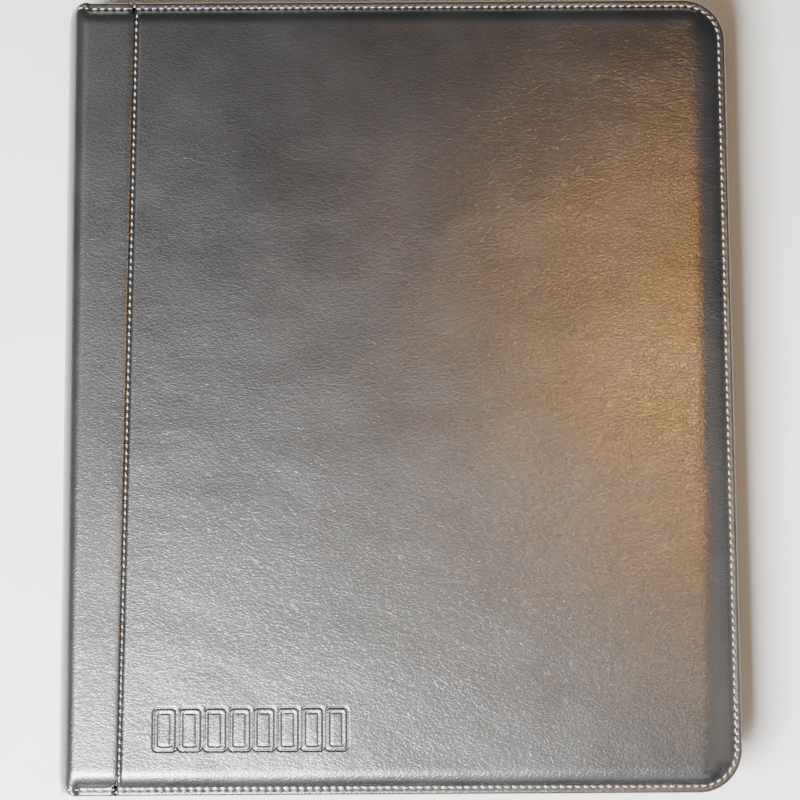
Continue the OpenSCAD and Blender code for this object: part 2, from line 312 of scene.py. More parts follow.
def lines_across(length, step, fine=None):
    """Grid lines along one side: close at both ends, and closer in the fine stretch."""
    near = np.array([0, 0.15, 0.35, 0.6, 0.9, 1.25, 1.7, 2.15, 2.6, 3.05, 3.5, 4, 4.7, 5.5, 6.4, 7.4,
                     8.5]) * MM
    middle = np.arange(near[-1] + step, length - near[-1] - step / 2, step)
    if fine:
        low, high, fine_step = fine
        middle = np.concatenate([middle[(middle < low) | (middle > high)], np.arange(low, high, fine_step)])
    return np.sort(np.concatenate([near, middle, length - near]))


def cover_outline(u, v, wide, tall):
    """Plan position on a cover, from the distance past its left end and above its bottom end.
    The two corners at the open edge are rounded: each ring at one depth keeps its true offset."""
    a = wide - u
    b = np.minimum(v, tall - v)
    depth = np.minimum(a, b)
    radius = np.maximum(corner_r - depth, 1e-6)
    along = np.abs(a - b)
    angle = np.radians(45) * (1 - along / radius)
    swap = a > b
    near = depth + radius - radius * np.where(swap, np.sin(angle), np.cos(angle))
    far = depth + radius - radius * np.where(swap, np.cos(angle), np.sin(angle))
    inside = (along < radius) & (depth < corner_r)
    a = np.where(inside, near, a)
    b = np.where(inside, far, b)
    return wide - a, np.where(v < tall / 2, b, tall - b)


def lean_with_seam(x, y):
    """The seam isn't quite parallel to the spine: it leans, and the leather beside it follows."""
    reach = 40 * MM
    return x + seam_lean * y * np.clip(1 - np.abs(x - seam_x) / reach, 0, 1)


def make_mesh(name, points, faces, materials):
    mesh = bpy.data.meshes.new(name)
    mesh.from_pydata(points.tolist(), [], faces)
    mesh.polygons.foreach_set("use_smooth", [True] * len(mesh.polygons))
    for material in materials:
        mesh.materials.append(material)
    mesh.update()
    piece = bpy.data.objects.new(name, mesh)
    bpy.context.collection.objects.link(piece)
    return piece


def grid_faces(rows, columns, start=0, flip=False):
    index = start + np.arange(rows * columns).reshape(rows, columns)
    quads = np.stack([index[:-1, :-1], index[1:, :-1], index[1:, 1:], index[:-1, 1:]], -1).reshape(-1, 4)
    return (quads[:, ::-1] if flip else quads).tolist()


def dimple(points, holes, depth, width, direction):
    """Press small pits into a surface where the needle went through."""
    tree = KDTree(len(holes))
    for k, hole in enumerate(holes):
        tree.insert(hole, k)
    tree.balance()
    for k, point in enumerate(points):
        _, _, away = tree.find(point)
        if away < 3 * width:
            points[k] = point + direction * depth * math.exp(-(away / width) ** 2)
    return points


def cover_rim_path():
    """The stitch line round a cover's free edges, from the seam's top end to its bottom end."""
    r = corner_r - stitch_inset
    x1, y1 = open_x - stitch_inset, half_len - stitch_inset
    arc = np.radians(np.linspace(90, 0, 24))
    path = [(seam_x + seam_lean * y1, y1)]
    path += [(x1 - r + r * math.cos(t), y1 - r + r * math.sin(t)) for t in arc]
    path += [(x1 - r + r * math.cos(t), -y1 + r - r * math.sin(t)) for t in arc[::-1]]
    path += [(seam_x - seam_lean * y1, -y1)]
    return np.array([(x, y, rim_z) for x, y in path])


def walk(path, pitch):
    """Points a pitch apart along a path, with the direction of travel at each."""
    legs = np.linalg.norm(np.diff(path, axis=0), axis=1)
    run = np.concatenate([[0], np.cumsum(legs)])
    count = int(run[-1] // pitch)
    at = (np.arange(count) + 0.5) * run[-1] / count
    here = np.stack([np.interp(at, run, path[:, k]) for k in range(3)], 1)
    ahead = np.stack([np.interp(np.minimum(at + 0.2 * MM, run[-1]), run, path[:, k]) for k in range(3)], 1)
    back = np.stack([np.interp(np.maximum(at - 0.2 * MM, 0), run, path[:, k]) for k in range(3)], 1)
    way = ahead - back
    return here, way / np.linalg.norm(way, axis=1)[:, None]


def upside_down(points):
    """The back cover is made like the front one, and faces the other way."""
    turned = np.array(points, float)
    turned[..., 2] = album_z - turned[..., 2]
    return turned


# A plain row of blank cards, each with a border line, is debossed near the bottom of the front
card_wid, card_len, card_corner = 8.4 * MM, 16.4 * MM, 1.5 * MM
card_pitch = 9.4 * MM
card_count = 8
border = 1.9 * MM
deboss_middle = (-57 * MM, -133.5 * MM)
deboss_depth = 0.46 * MM
deboss_line = 0.38 * MM
deboss_reach = (38.5 * MM, 9.5 * MM)
deboss_step = 0.36 * MM


def card_distance(x, y, wid, length, corner):
    """Distance from the outline of an upright card about the origin, less than 0 inside it."""
    px, py = np.abs(x) - wid / 2 + corner, np.abs(y) - length / 2 + corner
    return np.hypot(np.maximum(px, 0), np.maximum(py, 0)) + np.minimum(np.maximum(px, py), 0) - corner


def deboss(x, y):
    depth = np.zeros_like(x)
    for k in range(card_count):
        cx = x - deboss_middle[0] - (k - (card_count - 1) / 2) * card_pitch
        cy = y - deboss_middle[1]
        for inset, share in ((0, 1.0), (border, 0.55)):
            out = card_distance(cx, cy, card_wid - 2 * inset, card_len - 2 * inset, card_corner - inset / 2)
            depth = np.maximum(depth, share * np.exp(-(out / deboss_line) ** 4))
    return depth * deboss_depth


def cover_crown(from_open, from_end, from_seam):
    """Share of its full height that the padding has reached, from the distances to the edges."""
    by_seam = seam_share + (1 - seam_share) * rise(from_seam, seam_roll)
    return rise(from_open, open_roll) * rise(from_end, end_roll) * by_seam


# The foam pushes the leatherette up between its stitched edges. A coarse sheet, held at the stitch
# lines, is blown up to find by how much, and the fine sheets take their swelling from it.
swell_x = np.linspace(seam_x + 1 * MM, open_x - 3 * MM, 52)
swell_y = np.linspace(-half_len + 3 * MM, half_len - 3 * MM, 70)
swelling = np.zeros((len(swell_x), len(swell_y)))
most_swelling = 0.7 * MM
held_edge, held_seam = 5.5 * MM, 2.5 * MM
last_frame = 20
x, y = np.meshgrid(swell_x, swell_y, indexing="ij")
inside = np.minimum(open_x - x, half_len - np.abs(y))
z = rim_z + (album_z - rim_z) * cover_crown(open_x - x, half_len - np.abs(y), x - seam_x)
z = z + 0.5 * MM * rumple(x, y, 21 * MM, 71)
coarse = make_mesh("swelling_sheet", np.stack([x, y, z], -1).reshape(-1, 3), grid_faces(*x.shape), [])
held = np.flatnonzero((inside < held_edge) | (x < seam_x + held_seam))
coarse.vertex_groups.new(name="stitched").add(held.tolist(), 1.0, "REPLACE")
cloth = coarse.modifiers.new("foam_pressure", "CLOTH")
cloth.settings.vertex_group_mass = "stitched"
cloth.settings.quality = 6
cloth.settings.mass = 0.3
cloth.settings.tension_stiffness = cloth.settings.compression_stiffness = 30
cloth.settings.bending_stiffness = 0.8
cloth.settings.shrink_min = cloth.settings.shrink_max = -0.006
cloth.settings.use_pressure = True
cloth.settings.uniform_pressure_force = 4
cloth.settings.effector_weights.gravity = 0
cloth.point_cache.frame_start = 1
cloth.point_cache.frame_end = last_frame
for frame_number in range(1, last_frame + 1):
    bpy.context.scene.frame_set(frame_number)
blown = coarse.evaluated_get(bpy.context.evaluated_depsgraph_get()).data
heights = np.empty(len(blown.vertices) * 3)
blown.vertices.foreach_get("co", heights)
swelling = np.nan_to_num(heights.reshape(*x.shape, 3)[..., 2] - z)
swelling *= most_swelling / max(np.abs(swelling).max(), most_swelling)
bpy.data.objects.remove(coarse)
bpy.context.scene.frame_set(1)


def swell(x, y):
    """The swelling at any place on a cover, between the coarse sheet's points."""
    i = np.clip((x - swell_x[0]) / (swell_x[1] - swell_x[0]), 0, len(swell_x) - 1.001)
    j = np.clip((y - swell_y[0]) / (swell_y[1] - swell_y[0]), 0, len(swell_y) - 1.001)
    a, b = i.astype(int), j.astype(int)
    u, v = i - a, j - b
    left = swelling[a, b] * (1 - v) + swelling[a, b + 1] * v
    right = swelling[a + 1, b] * (1 - v) + swelling[a + 1, b + 1] * v
    return left * (1 - u) + right * u


def round_the_rim(index):
    """The points all round the edge of a grid, in order."""
    return np.concatenate([index[:-1, 0], index[-1, :-1], index[:0:-1, -1], index[0, :0:-1]])


def cover_panel(step, seed, pressed):
    """One panel's top and its turned-in edge, with the deboss if it is pressed."""
    wide, tall = open_x - seam_x, 2 * half_len
    fine_u = fine_v = None
    if pressed:
        middle_u, middle_v = deboss_middle[0] - seam_x, deboss_middle[1] + half_len
        fine_u = (middle_u - deboss_reach[0], middle_u + deboss_reach[0], deboss_step)
        fine_v = (middle_v - deboss_reach[1], middle_v + deboss_reach[1], deboss_step)
    across = lines_across(wide, step, fine_u)
    along = lines_across(tall, step, fine_v)
    u, v = np.meshgrid(across, along, indexing="ij")
    x, y = cover_outline(u, v, wide, tall)
    x, y = x + seam_x, y - half_len
    a, b = wide - u, np.minimum(v, tall - v)
    crown = cover_crown(a, b, u)
    z = rim_z + (album_z - rim_z) * crown
    z = z - groove_depth * np.exp(-((u - seam_stitch_x) / groove_width) ** 2)
    soft = 0.16 * rumple(x, y, 58 * MM, seed) + 0.1 * rumple(x, y, 27 * MM, seed + 1)
    soft = soft + 0.035 * rumple(x * 0.6 + y * 0.25, y, 9 * MM, seed + 2)
    z = z + crown * (soft - 0.3) * MM + swell(x, y) - 0.3 * most_swelling * crown
    z = z - roll_off(np.minimum(a, b), rim_roll)
    if pressed:
        z = z - deboss(x, y)
    x = lean_with_seam(x, y)
    points = np.stack([x, y, z], -1)
    rows, columns = u.shape
    faces = grid_faces(rows, columns)

    # The turned-in edge: down the side of the board and a little way under it
    index = np.arange(rows * columns).reshape(rows, columns)
    loop = round_the_rim(index)
    inner = np.concatenate([index[:-1, 1], index[-2, :-1], index[:0:-1, -2], index[1, :0:-1]])
    flat = points.reshape(-1, 3)
    inward = flat[inner] - flat[loop]
    inward[:, 2] = 0
    inward /= np.maximum(np.linalg.norm(inward, axis=1), 1e-9)[:, None]
    at_seam = np.zeros(len(loop), bool)
    at_seam[-(columns - 1):] = True
    floor = np.where(at_seam, rim_z - fold_drop, lining_z + 0.12 * MM)
    top = flat[loop, 2]
    skirt = []
    for share, under in ((0.4, 0.0), (0.8, 0.05), (0.95, 0.3), (1.0, 1.0)):
        ring = flat[loop] + inward * under * MM
        ring[:, 2] = top + (floor - top) * share
        skirt.append(ring)
    before = loop
    for k in range(len(skirt)):
        ring = rows * columns + k * len(loop) + np.arange(len(loop))
        faces += np.stack([before, ring, np.roll(ring, -1), np.roll(before, -1)], -1).tolist()
        before = ring
    return np.concatenate([flat] + skirt), faces


rim_holes, rim_ways = walk(cover_rim_path(), stitch_pitch)
seam_reach = half_len - stitch_inset - 2.2 * MM
seam_y = np.linspace(seam_reach, -seam_reach, 300)
seam_z = rim_z + (album_z - rim_z) * seam_share * rise(half_len - np.abs(seam_y), end_roll) - 0.1 * MM
seam_path = np.stack([seam_x + seam_stitch_x + seam_lean * seam_y, seam_y, seam_z], 1)
seam_pitch = 2.95 * MM
seam_holes, seam_ways = walk(seam_path, seam_pitch)
pit_places = np.concatenate([rim_holes + rim_ways * stitch_pitch * 0.5, seam_holes + seam_ways * 1.5 * MM])

down = np.array([0, 0, -1.0])
points, faces = cover_panel(0.95 * MM, 11, True)
points = dimple(points, pit_places, 0.35 * MM, 0.8 * MM, down)
front_panel = make_mesh("front_panel_skin", points, faces, [panel_leather])
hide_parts("front_panel_leather")
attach(front_panel, "front_cover")

# The foam of each cover is a cushion under its panel, which leans with the seam as the panel does
cushion_inset = 1.8 * MM
cushion_drop = 1.6 * MM


def cover_cushion():
    """A crowned pad on the front board, closed below, with its open corners rounded."""
    across = np.arange(board_x + 1 * MM, open_x - cushion_inset, 4 * MM)
    along = np.linspace(-half_len + cushion_inset, half_len - cushion_inset, 80)
    x, y = np.meshgrid(across, along, indexing="ij")
    side = seam_share + (1 - seam_share) * rise(np.abs(x - seam_x), (1.6 * MM, 5 * MM))
    crown = rise(open_x - x, open_roll) * rise(half_len - np.abs(y), end_roll) * side
    past = np.hypot(np.maximum(x - open_x + corner_r, 0), np.maximum(np.abs(y) - half_len + corner_r, 0))
    crown = crown * rise(corner_r - past, (3.4 * MM, 8 * MM))
    top = np.stack([lean_with_seam(x, y), y, rim_z - cushion_drop + (album_z - rim_z) * crown], -1)
    base = top.copy()
    base[..., 2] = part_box("front_board")[1].z
    count = x.size
    rim = round_the_rim(np.arange(count).reshape(x.shape))
    faces = grid_faces(*x.shape) + grid_faces(*x.shape, start=count, flip=True)
    faces += np.stack([rim, rim + count, np.roll(rim, -1) + count, np.roll(rim, -1)], -1).tolist()
    points = np.concatenate([top.reshape(-1, 3), base.reshape(-1, 3)])

    # Points past the rounded corners are drawn back on to their arcs
    past_x = points[:, 0] - open_x + corner_r
    past_y = np.abs(points[:, 1]) - half_len + corner_r
    away = np.hypot(past_x, past_y)
    outside = (points[:, 0] > open_x - corner_r) & (np.abs(points[:, 1]) > half_len - corner_r)
    arc = corner_r - cushion_inset
    pull = np.where(outside & (away > arc), arc / np.maximum(away, 1e-6), 1)
    pulled_y = np.sign(points[:, 1]) * (half_len - corner_r + past_y * pull)
    points[:, 0] = np.where(outside, open_x - corner_r + past_x * pull, points[:, 0])
    points[:, 1] = np.where(outside, pulled_y, points[:, 1])
    return points, faces


points, faces = cover_cushion()
for name, cover, mine, order in (("front_cushion", "front_cover", points, faces),
                                 ("back_cushion", "back_cover", upside_down(points),
                                  [face[::-1] for face in faces])):
    cushion = make_mesh(name, mine, order, [foam_material])
    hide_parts(cover.replace("cover", "foam"))
    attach(cushion, cover)

points, faces = cover_panel(1.5 * MM, 37, False)
points = dimple(points, pit_places, 0.3 * MM, 0.9 * MM, down)
back_panel = make_mesh("back_panel_skin", upside_down(points), [face[::-1] for face in faces],
                       [panel_leather])
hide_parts("back_panel_leather")
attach(back_panel, "back_cover")


# ---- Spine leatherette ------------------------------------------------------------------------
# One sheet wraps the spine from seam to seam. It is made here in two halves that meet in the
# middle of the spine, one from each seam.

half_h = album_z / 2
bulge = bulge_x - spine_x
oval = 2.4
spine_lining_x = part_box("spine_lining")[1].x
spine_board_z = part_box("spine_board")[1].z
seam_lap = 0.25 * MM
tuck_share, tuck_r = 0.62, 4.5 * MM
corner_steps = 39
gutter_share = 0.55
end_drop, wing_drop = 0.6 * MM, 2.7 * MM


def spine_profile():
    """Half of the album's section, from the seam to the middle of the spine: points on the
    outside, points on the inside, and how far the outside drops at the stitched ends."""
    outside, inside, drop = [], [], []
    wing = seam_x + seam_lap - bulge_x
    steps = np.concatenate([np.array([0, 0.15, 0.4, 0.7, 1.1, 1.6, 2.2, 3, 4, 5.2, 6.6, 8, 9.6]) * MM,
                            np.linspace(11 * MM, wing, 7)])
    edge_share = seam_share + 0.17
    for s in steps:
        by_seam = edge_share + (1 - edge_share) * float(rise(s, (0.4 * MM, 2.5 * MM)))
        lift = (album_z - rim_z) * by_seam - float(roll_off(s, 0.6 * MM))
        outside.append((seam_x + seam_lap - s, rim_z + lift))
        inside.append((max(board_x, seam_x + seam_lap - s), lining_z + 0.05 * MM))
        drop.append(lift)
    for t in np.linspace(90, 0, corner_steps + 1)[1:]:
        c, s = math.cos(math.radians(t)), math.sin(math.radians(t))
        outside.append((spine_x + bulge * (1 - c ** (2 / oval)), half_h + half_h * s ** (2 / oval)))
        drop.append(end_drop + wing_drop * max(0, (t - 55) / 35) ** 1.5)
        # The lining turns the corner more tightly than the leather does
        share = 1 - t / 90
        gutter = min(1, share / gutter_share)
        corner = (spine_lining_x - board_x) * gutter ** 0.8
        fall = (lining_z - spine_board_z) * gutter ** 2
        deep = (spine_board_z - half_h) * max(0, (share - gutter_share) / (1 - gutter_share))
        inside.append((board_x + corner, lining_z + 0.05 * MM - fall - deep))
    return np.array(outside), np.array(inside), np.array(drop)


def tuck_in(x, from_end):
    """The spine's ends are rounded in plan: what bulges past the covers is drawn in near an end."""
    tuck = 1 - tuck_share * roll_off(from_end, tuck_r) / tuck_r
    return np.where(x < bulge_x, bulge_x + (x - bulge_x) * tuck, x)


def outward(outside):
    """Unit vectors that point out of the section, one for each of its points."""
    tangent = np.gradient(outside, axis=0)
    normal = np.stack([tangent[:, 1], -tangent[:, 0]], 1)
    return normal / np.linalg.norm(normal, axis=1)[:, None]


def spine_half(seed, mirror):
    """The sheet from one seam to the middle of the spine, turned in at both ends."""
    outside, inside, drop = spine_profile()
    along = lines_across(2 * half_len, 0.95 * MM) - half_len
    end = half_len - np.abs(along)
    normal = outward(outside)
    run = np.concatenate([[0], np.cumsum(np.linalg.norm(np.diff(outside, axis=0), axis=1))])
    arc = (run[-1] - run) * (-1 if mirror else 1)
    puff = rise(end, end_roll)
    soft = 0.1 * rumple(along[None, :], arc[:, None], 40 * MM, seed)
    soft = (soft + 0.05 * rumple(along[None, :], arc[:, None], 14 * MM, seed + 1)) * MM * puff
    push = soft - drop[:, None] * (1 - puff) - roll_off(end, rim_roll)[None, :]
    fade = np.clip(run / (3 * MM), 0, 1)[:, None]
    push = push * np.where(push > 0, fade, 1)
    x = outside[:, 0:1] + normal[:, 0:1] * push
    z = outside[:, 1:2] + normal[:, 1:2] * push
    y = np.broadcast_to(along[None, :], x.shape)
    leaning = np.clip(1 - run / (22 * MM), 0, 1)[:, None]
    x = tuck_in(x, end[None, :]) + seam_lean * y * leaning
    points = np.stack([x, y, z], -1)
    rows, columns = x.shape
    faces = grid_faces(rows, columns, flip=True)
    flat = [points.reshape(-1, 3)]
    start = rows * columns
    for side, column in ((-1, 0), (1, columns - 1)):
        edge = points[:, column]
        lined = np.stack([inside[:, 0], np.full(rows, side * (half_len - 0.9 * MM)), inside[:, 1]], 1)
        for k, (share, under) in enumerate(((0.45, 0.0), (0.85, 0.35), (1.0, 1.0))):
            ring = edge + (lined - edge) * share
            ring[:, 1] = edge[:, 1] + (lined[:, 1] - edge[:, 1]) * under
            flat.append(ring)
            this = start + np.arange(rows)
            last = np.arange(rows) * columns + column if k == 0 else this - rows
            quads = np.stack([last[:-1], last[1:], this[1:], this[:-1]], -1)
            faces += (quads if side < 0 else quads[:, ::-1]).tolist()
            start += rows

    # The folded edge along the seam goes down to the board
    fold = points[0] + np.array([0.25 * MM, 0, 0])
    fold[:, 2] = rim_z - fold_drop
    flat.append(fold)
    top, low = np.arange(columns), start + np.arange(columns)
    faces += np.stack([top[:-1], low[:-1], low[1:], top[1:]], -1).tolist()
    return np.concatenate(flat), faces


def spine_end_path(side):
    """The stitch line round one end of the spine, from the seam to the middle of the spine."""
    outside, _, drop = spine_profile()
    normal = outward(outside)
    down_to = outside - normal * drop[:, None]
    y = side * (half_len - stitch_inset)
    wing_steps = len(outside) - corner_steps
    lean = seam_lean * y * np.clip(1 - np.arange(len(outside)) / wing_steps, 0, 1)
    x = tuck_in(down_to[:, 0], stitch_inset)
    path = np.stack([x + lean, np.full(len(outside), y), down_to[:, 1]], 1)
    return path, np.stack([normal[:, 0], np.zeros(len(outside)), normal[:, 1]], 1)


def bend_at_hinge(piece):
    """Bake the piece's place into its mesh. Nothing here turns it with the hinge."""
    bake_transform(piece)


spine_pits = []
for side in (1, -1):
    path, _ = spine_end_path(side)
    here, way = walk(path, stitch_pitch)
    spine_pits.append(here + way * stitch_pitch * 0.5)
spine_pits = np.concatenate(spine_pits)

for name, cover, front, node in (("spine_skin_front_half", "front_cover", True, "front_spine_leather"),
                                 ("spine_skin_back_half", "back_cover", False, "back_spine_leather")):
    points, faces = spine_half(51, not front)
    points = dimple(points, spine_pits, 0.3 * MM, 0.8 * MM, np.array([0.4, 0, -0.9]))
    if not front:
        points, faces = upside_down(points), [face[::-1] for face in faces]
    skin = make_mesh(name, points, faces, [spine_leather])
    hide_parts(node, "spine_leather")
    bend_at_hinge(skin)


# ---- Linings ----------------------------------------------------------------------------------
# Each board is lined with a woven book cloth that reaches the turned-in leatherette. Where the
# album folds, the cloth bridges the gap between the cover's lining and the spine's.

lining_material, tree, shader = new_material("black_book_cloth", (0.02, 0.02, 0.022), 0.85)
warp = add(tree, "ShaderNodeTexWave", {"Scale": 330.0, "Distortion": 0.6}, bands_direction="X")
weft = add(tree, "ShaderNodeTexWave", {"Scale": 330.0, "Distortion": 0.6}, bands_direction="Y")
slub = add(tree, "ShaderNodeTexNoise", {"Scale": 120.0, "Detail": 4.0})
vector = place(tree)
for node in (warp, weft, slub):
    tree.links.new(vector, node.inputs["Vector"])
weave = math_node(tree, "MAXIMUM", warp.outputs["Fac"], weft.outputs["Fac"])
bump(tree, shader, weave, 0.08 * MM)
tint(tree, shader, slub.outputs["Fac"], [(0.35, (0.008, 0.008, 0.009)), (0.7, (0.016, 0.016, 0.018))])
shader.inputs["Sheen Weight"].default_value = 0.2
for lining in ("front_lining", "back_lining"):
    paint(lining, lining_material)


def gutter_lining(name, front):
    """A strip from under one cover's lining, round the fold, to the middle of the spine."""
    _, inside, _ = spine_profile()
    start = np.array([[board_x + 7 * MM, lining_z - 0.12 * MM], [board_x + 3 * MM, lining_z - 0.12 * MM]])
    keep = inside[inside[:, 0] <= board_x]
    keep = np.concatenate([start, keep[-corner_steps:]])
    along = np.linspace(-half_len + 1.1 * MM, half_len - 1.1 * MM, 160)
    x, y = np.meshgrid(keep[:, 0], along, indexing="ij")
    z = np.broadcast_to(keep[:, 1:2], x.shape)
    points = np.stack([x, y, z], -1).reshape(-1, 3)
    under = points + np.array([0, 0, 0.25 * MM])
    faces = grid_faces(*x.shape) + grid_faces(*x.shape, start=len(points), flip=True)
    points = np.concatenate([points, under])
    if not front:
        points, faces = upside_down(points), [face[::-1] for face in faces]
    return make_mesh(name, points, faces, [lining_material])


for name, cover, front in (("gutter_lining_front", "front_cover", True),
                           ("gutter_lining_back", "back_cover", False)):
    strip = gutter_lining(name, front)
    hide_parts("spine_lining")
    bend_at_hinge(strip)


# ---- Stitching --------------------------------------------------------------------------------
# Off-white twisted polyester thread, lockstitched round the free edges, along both seams and round
# the ends of the spine. Each stitch leans a little and dives into a needle hole, painted as a near-black
# dish of shade.

thread_material, tree, shader = new_material("off_white_thread", (0.78, 0.76, 0.71), 0.62)
twist_at = add(tree, "ShaderNodeUVMap", uv_map="twist")
twist = add(tree, "ShaderNodeTexWave", {"Scale": 5.0, "Distortion": 0.4}, bands_direction="DIAGONAL")
fuzz = add(tree, "ShaderNodeTexNoise", {"Scale": 1800.0, "Detail": 3.0})
tree.links.new(twist_at.outputs["UV"], twist.inputs["Vector"])
tree.links.new(place(tree), fuzz.inputs["Vector"])
# The colour is partly painted shade, darker along the grooves of the twist, and partly the thread's own
# tone, flecked at random by the fuzz.
twist_shade_and_fuzz = math_node(tree, "MULTIPLY", twist.outputs["Fac"], fuzz.outputs["Fac"])
tint(tree, shader, twist_shade_and_fuzz, [(0.05, (0.36, 0.34, 0.31)), (0.4, (0.68, 0.66, 0.61))])
bump(tree, shader, twist.outputs["Fac"], 0.06 * MM)

# Painted shade: the needle holes are dishes coloured near-black, standing for the shade down in each hole.
hole_shade_material, tree, shader = new_material("needle_hole_shade", (0.004, 0.004, 0.004), 0.9)
rough = add(tree, "ShaderNodeTexNoise", {"Scale": 3000.0})
tree.links.new(place(tree), rough.inputs["Vector"])
tint(tree, shader, rough.outputs["Fac"], [(0.3, (0.002, 0.002, 0.002)), (0.7, (0.008, 0.008, 0.008))])

thread_r = 0.25 * MM
stitch_lean = math.radians(7)
thread_lift, thread_dive = 0.2 * MM, 0.48 * MM
hole_gap, hole_depth = 0.32 * MM, 0.28 * MM
hole_rings = ((0.48 * MM, 0), (0.4 * MM, 0.07 * MM), (0.2 * MM, 0.02 * MM))


def stitch_row(name, here, ways, ups, length):
    """One tube for each stitch, and a sunken dish for the hole that it goes down, painted near-black as its
    shade.
    """
    rings, sides = 7, 8
    points, faces, twist_uv, slots = [], [], [], []
    rng = np.random.default_rng(len(here))
    for middle, way, up in zip(here, ways, ups):
        across = np.cross(up, way)
        wobble = stitch_lean + rng.uniform(-0.05, 0.05)
        size = length * rng.uniform(0.94, 1.04)
        first = len(points)
        for ring in range(rings):
            t = 2 * ring / (rings - 1) - 1
            lift = thread_lift - thread_dive * abs(t) ** 2.6
            centre = middle + way * t * size / 2 + across * math.tan(wobble) * t * size / 2 + up * lift
            r = thread_r * (1 - 0.3 * t ** 4)
            for side in range(sides):
                turn = 2 * math.pi * side / sides
                points.append(centre + (across * math.cos(turn) + up * math.sin(turn) * 0.85) * r)
        for ring in range(rings - 1):
            for side in range(sides):
                a, b = first + ring * sides + side, first + ring * sides + (side + 1) % sides
                faces.append((a, b, b + sides, a + sides))
                u, v = ring / (rings - 1), side / sides
                twist_uv += [(u, v), (u, v + 1 / sides), (u + 1 / (rings - 1), v + 1 / sides),
                             (u + 1 / (rings - 1), v)]
                slots.append(0)
        for base in (first, first + (rings - 1) * sides):
            ring = [base + side for side in range(sides)]
            faces.append(ring if base != first else ring[::-1])
            twist_uv += [(0, 0)] * sides
            slots.append(0)
        hole = middle + way * (size / 2 + hole_gap) - across * 0.1 * MM
        first = len(points)
        for r, lift in hole_rings:
            for side in range(sides):
                turn = 2 * math.pi * side / sides
                oval_at = way * math.cos(turn) * 1.1 + across * math.sin(turn) * 0.85
                points.append(hole + oval_at * r + up * (lift - hole_depth))
        for ring in range(len(hole_rings) - 1):
            for side in range(sides):
                a, b = first + ring * sides + side, first + ring * sides + (side + 1) % sides
                faces.append((a, b, b + sides, a + sides))
                twist_uv += [(0, 0)] * 4
                slots.append(1)
        faces.append([first + 2 * sides + side for side in range(sides)])
        twist_uv += [(0, 0)] * sides
        slots.append(1)
    piece = make_mesh(name, np.array(points), faces, [thread_material, hole_shade_material])
    layer = piece.data.uv_layers.new(name="twist")
    layer.data.foreach_set("uv", np.array(twist_uv, np.float32).ravel())
    piece.data.polygons.foreach_set("material_index", slots)
    return piece


level = np.array([0, 0, 1.0])
for cover, front in (("front_cover", True), ("back_cover", False)):
    tag = "front" if front else "back"
    for part, here, ways, length in (("edge", rim_holes, rim_ways, 1.72 * MM),
                                     ("seam", seam_holes, seam_ways, 1.5 * MM)):
        ups = np.tile(level, (len(here), 1))
        if front:
            row = stitch_row(f"{tag}_{part}_stitches", here, ways, ups, length)
        else:
            row = stitch_row(f"{tag}_{part}_stitches", upside_down(here), ways, -ups, length)
        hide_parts(f"{tag}_{part}_stitching")
        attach(row, cover)
    for side, end in ((1, "top"), (-1, "bottom")):
        path, normals = spine_end_path(side)
        here, ways = walk(path, stitch_pitch)
        ups = np.stack([np.interp(here[:, 0], path[::-1, 0], normals[::-1, k]) for k in range(3)], 1)
        ups /= np.linalg.norm(ups, axis=1)[:, None]
        if not front:
            here, ways, ups = upside_down(here), ways * [1, 1, -1], ups * [1, 1, -1]
        row = stitch_row(f"spine_{end}_stitches_{tag}", here, ways, ups, 1.85 * MM)
        bend_at_hinge(row)


# ---- Ring mechanism ---------------------------------------------------------------------------
# A nickel-plated steel plate is riveted to the back board. Two sprung blades under it carry the
# half rings, and a thumb lever at each end snaps them open and shut.

brush_group, ends_in, ends_out = effect_group("rolling_marks", "Marks per metre", 900.0,
                                              ["Height", "Tarnish"])
streak = add(brush_group, "ShaderNodeTexNoise", {"Detail": 3.0})
spots = add(brush_group, "ShaderNodeTexNoise", {"Scale": 55.0, "Detail": 5.0})
squeeze = add(brush_group, "ShaderNodeMapping", {"Scale": (1, 0.02, 1)})
brush_group.links.new(ends_in.outputs["Vector"], squeeze.inputs["Vector"])
brush_group.links.new(squeeze.outputs["Vector"], streak.inputs["Vector"])
brush_group.links.new(ends_in.outputs["Marks per metre"], streak.inputs["Scale"])
brush_group.links.new(ends_in.outputs["Vector"], spots.inputs["Vector"])
brush_group.links.new(streak.outputs["Fac"], ends_out.inputs["Height"])
brush_group.links.new(spots.outputs["Fac"], ends_out.inputs["Tarnish"])


def plated_steel(name, color, roughness, marks):
    material, tree, shader = new_material(name, color, roughness, metallic=1.0)
    rolled = add(tree, "ShaderNodeGroup", {"Marks per metre": marks}, node_tree=brush_group)
    tree.links.new(place(tree), rolled.inputs["Vector"])
    bump(tree, shader, rolled.outputs["Height"], 0.012 * MM)
    duller = tuple(channel * 0.8 for channel in color)
    tint(tree, shader, rolled.outputs["Tarnish"], [(0.35, duller), (0.65, color)])
    uneven = math_node(tree, "MULTIPLY", rolled.outputs["Tarnish"], 0.14)
    tree.links.new(math_node(tree, "ADD", uneven, roughness), shader.inputs["Roughness"])
    return material


plate_steel = plated_steel("nickel_plated_strip", (0.62, 0.61, 0.6), 0.2, 900.0)
blade_steel = plated_steel("sprung_steel_strip", (0.42, 0.42, 0.43), 0.32, 1400.0)
wire_steel = plated_steel("polished_ring_wire", (0.72, 0.72, 0.72), 0.1, 400.0)
for part in ("ring_plate", "plate_rivets", "lever_top", "lever_bottom"):
    paint(part, plate_steel)
for part in ("ring_blade_left", "ring_blade_right"):
    paint(part, blade_steel)
for part in ("half_rings_left", "half_rings_right"):
    paint(part, wire_steel)


# ---- Leaves -----------------------------------------------------------------------------------
# A leaf is a sheet of black polypropylene, punched for the rings, with clear film welded to both
# faces in three rows of three. Each pocket is open on the side towards the rings.

